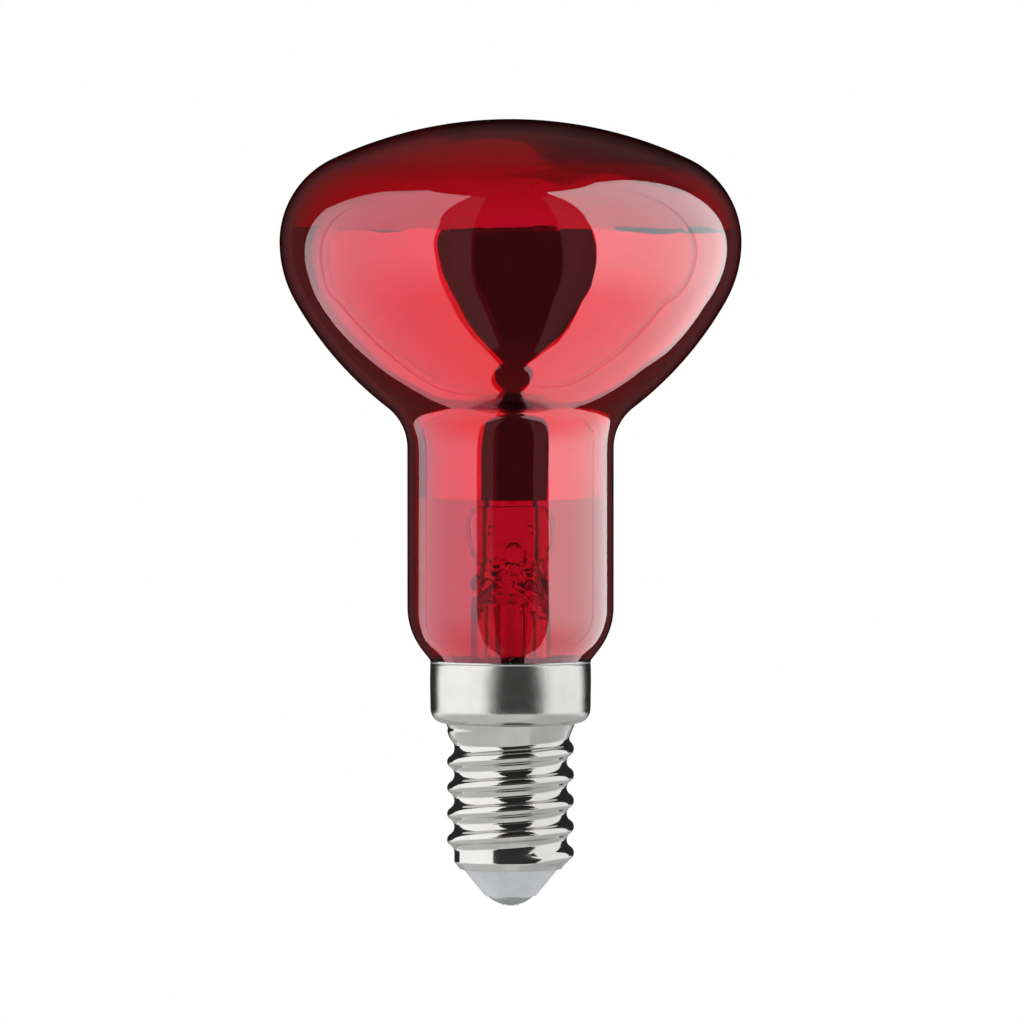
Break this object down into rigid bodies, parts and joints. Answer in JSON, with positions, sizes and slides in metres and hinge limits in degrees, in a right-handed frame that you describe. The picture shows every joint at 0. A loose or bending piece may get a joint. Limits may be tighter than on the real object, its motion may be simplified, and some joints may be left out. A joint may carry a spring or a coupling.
{
  "type": "infrared heat lamp bulb",
  "caption": "Red glass reflector lamp with a mirrored flank, see-through neck, glass stem and screw cap, for radiant warmth.",
  "frame": {"origin": "tip of the bottom contact, on the lamp's axis", "axes": "+Z along the lamp's axis from the cap towards the domed window, -Y towards the viewer of the picture"},
  "size_m": [0.05, 0.05, 0.0851],
  "materials": {
    "red_glass": "clear blown red glass",
    "mirror_film": "vapour deposited bright metal",
    "clear_glass": "clear pressed glass",
    "nickelled_shell": "bright nickel, slightly satin",
    "insulator": "pale grey vitreous",
    "contact_metal": "satin nickel",
    "solder": "dull tin",
    "lead_wire": "drawn wire",
    "copper_wire": "copper coated wire",
    "tungsten": "coiled wire",
    "cement": "baked cement"
  },
  "bodies": {
    "root": {"glass_bulb": "red_glass", "mirror_coating": "mirror_film", "stem_flare": "clear_glass", "exhaust_tube": "clear_glass", "support_rod": "clear_glass", "support_wire_1": "lead_wire", "support_wire_2": "lead_wire", "support_wire_3": "lead_wire", "inner_lead_left": "lead_wire", "inner_lead_right": "lead_wire", "seal_wire_left": "copper_wire", "seal_wire_right": "copper_wire", "outer_lead_centre": "copper_wire", "outer_lead_side": "copper_wire", "filament": "tungsten", "cap_shell": "nickelled_shell", "cap_insulator": "insulator", "contact_plate": "contact_metal", "contact_solder": "solder", "rim_solder": "solder", "cap_cement": "cement"}
  },
  "joints": []
}
